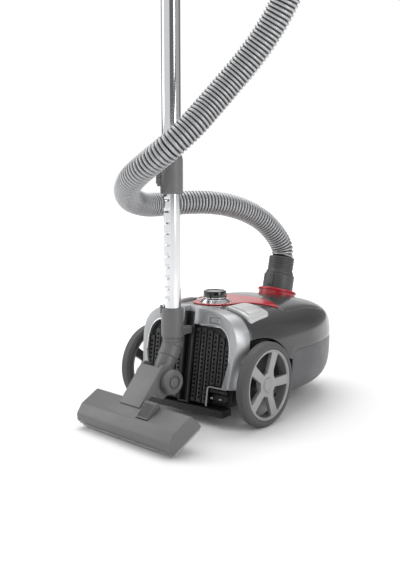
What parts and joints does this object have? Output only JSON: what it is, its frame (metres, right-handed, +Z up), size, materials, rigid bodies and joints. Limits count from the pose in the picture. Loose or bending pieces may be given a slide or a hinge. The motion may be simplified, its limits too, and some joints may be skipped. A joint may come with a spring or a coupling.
{
  "type": "canister vacuum cleaner",
  "caption": "Canister vacuum cleaner parked upright: wheeled body with lid, knob and pedals, ribbed hose, telescopic wand and hinged floor nozzle.",
  "frame": {"origin": "on the floor, midway between the nozzle's front edge and the body's nose, on the body's centre plane", "axes": "+Y from the rear grille to the nose, +X to the right side seen from behind, +Z up along the wand"},
  "size_m": [0.4497, 0.6477, 1.0552],
  "materials": {
    "upper_shell": "polished dark grey ABS",
    "front_bumper": "satin mid-grey ABS",
    "black_plastic": "fine-textured black polypropylene",
    "silver_paint": "silver paint on moulded plastic",
    "trim_red": "polished red lacquer",
    "chrome": "bright chrome plate",
    "wheel_tyre": "grey moulded rubber",
    "nozzle_plastic": "fine-textured grey ABS",
    "cuff_plastic": "fine-textured dark grey polypropylene",
    "hose_plastic": "silver-grey PVC over a wire helix",
    "bag_paper": "filter paper",
    "foam": "open-cell foam and sponge rubber",
    "board": "glass-fibre circuit board",
    "bristle": "nylon bristle",
    "motor_steel": "pressed zinc-plated steel",
    "sole_steel": "brushed stainless steel"
  },
  "bodies": {
    "canister": {"upper_shell": "upper_shell", "front_bumper": "front_bumper", "lower_chassis": "black_plastic", "rear_bezel": "silver_paint", "park_channel": "black_plastic", "exhaust_grille_left": "black_plastic", "exhaust_grille_right": "black_plastic", "recess_bar": "black_plastic", "mains_plug": "black_plastic", "hepa_filter": "bag_paper", "top_trim": "trim_red", "knob_skirt": "chrome", "circuit_board": "board", "lid_seal": "foam", "motor_housing": "motor_steel", "motor_filter": "foam", "bulkhead": "black_plastic", "reel_bracket": "motor_steel", "dust_bag": "bag_paper", "bag_holder": "black_plastic", "axle_left": "chrome", "axle_right": "chrome", "hose_a": "hose_plastic", "hose_b": "hose_plastic"},
    "wheel_left": {"tyre_left": "wheel_tyre", "hub_left": "silver_paint"},
    "wheel_right": {"tyre_right": "wheel_tyre", "hub_right": "silver_paint"},
    "caster": {"caster_fork": "black_plastic"},
    "caster_roller": {"caster_wheel": "wheel_tyre"},
    "lid": {"dust_lid": "upper_shell", "inlet_ring": "trim_red"},
    "lid_catch": {"lid_latch": "black_plastic"},
    "cuff": {"hose_cuff": "cuff_plastic", "hose_collar": "cuff_plastic"},
    "cuff_release": {"cuff_button": "cuff_plastic"},
    "knob": {"suction_knob": "black_plastic"},
    "power_key": {"power_pedal": "silver_paint"},
    "rewind_key": {"rewind_pedal": "silver_paint"},
    "latch_left": {"grille_latch_left": "silver_paint"},
    "latch_right": {"grille_latch_right": "silver_paint"},
    "fan": {"fan_rotor": "motor_steel"},
    "reel": {"cord_reel": "front_bumper"},
    "wand_lower": {"wand_inner_tube": "chrome", "nozzle_socket": "nozzle_plastic"},
    "socket_key": {"socket_button": "nozzle_plastic"},
    "wand_upper": {"wand_outer_tube": "chrome", "telescope_collar": "nozzle_plastic", "wand_handle": "nozzle_plastic", "hose_c": "hose_plastic"},
    "telescope_key": {"collar_slider": "cuff_plastic"},
    "vent": {"vent_slider": "cuff_plastic"},
    "neck": {"neck_elbow": "nozzle_plastic"},
    "nozzle_head": {"neck_cover": "nozzle_plastic", "pivot_cap_left": "nozzle_plastic", "pivot_cap_right": "nozzle_plastic", "head_shell": "nozzle_plastic", "sole_plate": "sole_steel"},
    "rocker": {"nozzle_pedal": "nozzle_plastic"},
    "brushes": {"brush_strips": "bristle"}
  },
  "joints": [
    {"name": "wheel_left_spin", "type": "hinge", "parent": "canister", "child": "wheel_left", "pos_m": [-0.146, -0.058, 0.082], "axis": [-1, 0, 0], "continuous": true},
    {"name": "wheel_right_spin", "type": "hinge", "parent": "canister", "child": "wheel_right", "pos_m": [0.146, -0.058, 0.082], "axis": [1, 0, 0], "continuous": true},
    {"name": "caster_swivel", "type": "hinge", "parent": "canister", "child": "caster", "pos_m": [0, 0.222, 0.05], "axis": [0, 0, 1], "continuous": true},
    {"name": "caster_roll", "type": "hinge", "parent": "caster", "child": "caster_roller", "pos_m": [0, 0.213, 0.017], "axis": [1, 0, 0], "continuous": true},
    {"name": "lid_hinge", "type": "hinge", "parent": "canister", "child": "lid", "pos_m": [0, 0.0465, 0.2195], "axis": [1, 0, 0], "range_deg": [0, 50], "deforming": ["hose_a", "hose_b"]},
    {"name": "lid_catch_press", "type": "slide", "parent": "canister", "child": "lid_catch", "axis": [0, -1, 0], "range_m": [0, 0.002], "stiffness_N_per_m": 400},
    {"name": "cuff_swivel", "type": "hinge", "parent": "lid", "child": "cuff", "pos_m": [0, 0.199, 0.2135], "axis": [0, 0.2368, 0.9715], "continuous": true},
    {"name": "cuff_button_press", "type": "slide", "parent": "cuff", "child": "cuff_release", "axis": [0, 0.9715, -0.2368], "range_m": [0, 0.0015], "stiffness_N_per_m": 400},
    {"name": "knob_turn", "type": "hinge", "parent": "canister", "child": "knob", "pos_m": [0, -0.026, 0.23], "axis": [0, 0, 1], "range_deg": [-135, 135]},
    {"name": "power_press", "type": "slide", "parent": "canister", "child": "power_key", "axis": [0, 0, -1], "range_m": [0, 0.005], "stiffness_N_per_m": 600},
    {"name": "rewind_press", "type": "slide", "parent": "canister", "child": "rewind_key", "axis": [0, 0, -1], "range_m": [0, 0.005], "stiffness_N_per_m": 600},
    {"name": "grille_latch_left_press", "type": "slide", "parent": "canister", "child": "latch_left", "axis": [0, 0.9893, -0.1461], "range_m": [0, 0.002], "stiffness_N_per_m": 400},
    {"name": "grille_latch_right_press", "type": "slide", "parent": "canister", "child": "latch_right", "axis": [0, 0.9893, -0.1461], "range_m": [0, 0.002], "stiffness_N_per_m": 400},
    {"name": "fan_spin", "type": "hinge", "parent": "canister", "child": "fan", "pos_m": [-0.048, 0, 0.108], "axis": [0, 1, 0], "continuous": true},
    {"name": "reel_spin", "type": "hinge", "parent": "canister", "child": "reel", "pos_m": [0.045, -0.03, 0.108], "axis": [1, 0, 0], "continuous": true},
    {"name": "wand_lift", "type": "slide", "parent": "canister", "child": "wand_lower", "axis": [0, 0, 1], "range_m": [0, 0.06], "deforming": ["hose_c", "hose_b"]},
    {"name": "socket_button_press", "type": "slide", "parent": "wand_lower", "child": "socket_key", "axis": [0.7547, 0.6561, 0], "range_m": [0, 0.001], "stiffness_N_per_m": 300},
    {"name": "telescope", "type": "slide", "parent": "wand_lower", "child": "wand_upper", "axis": [0, 0, 1], "range_m": [-0.19, 0.18], "deforming": ["hose_c", "hose_b"]},
    {"name": "telescope_slider", "type": "slide", "parent": "wand_upper", "child": "telescope_key", "axis": [0, 0, 1], "range_m": [0, 0.007], "stiffness_N_per_m": 300},
    {"name": "vent_slide", "type": "slide", "parent": "wand_upper", "child": "vent", "axis": [0.9246, 0, 0.381], "range_m": [0, 0.01]},
    {"name": "neck_swivel", "type": "hinge", "parent": "wand_lower", "child": "neck", "pos_m": [0, -0.157, 0.1707], "axis": [0, 0, 1], "range_deg": [-35, 25]},
    {"name": "neck_tilt", "type": "hinge", "parent": "neck", "child": "nozzle_head", "pos_m": [0, -0.197, 0.098], "axis": [0.9932, -0.1167, 0], "range_deg": [-25, 30]},
    {"name": "rocker_tilt", "type": "hinge", "parent": "nozzle_head", "child": "rocker", "pos_m": [0.04431, -0.27407, 0.05762], "axis": [0.9932, -0.1167, 0], "range_deg": [-5, 5]},
    {"name": "brush_drop", "type": "slide", "parent": "nozzle_head", "child": "brushes", "axis": [0.0574, 0.4891, -0.8704], "range_m": [-0.0026, 0.0026]}
  ],
  "couplings": [
    {"joint": "brush_drop", "follows": "rocker_tilt", "m_per_rad": 0.029794}
  ]
}
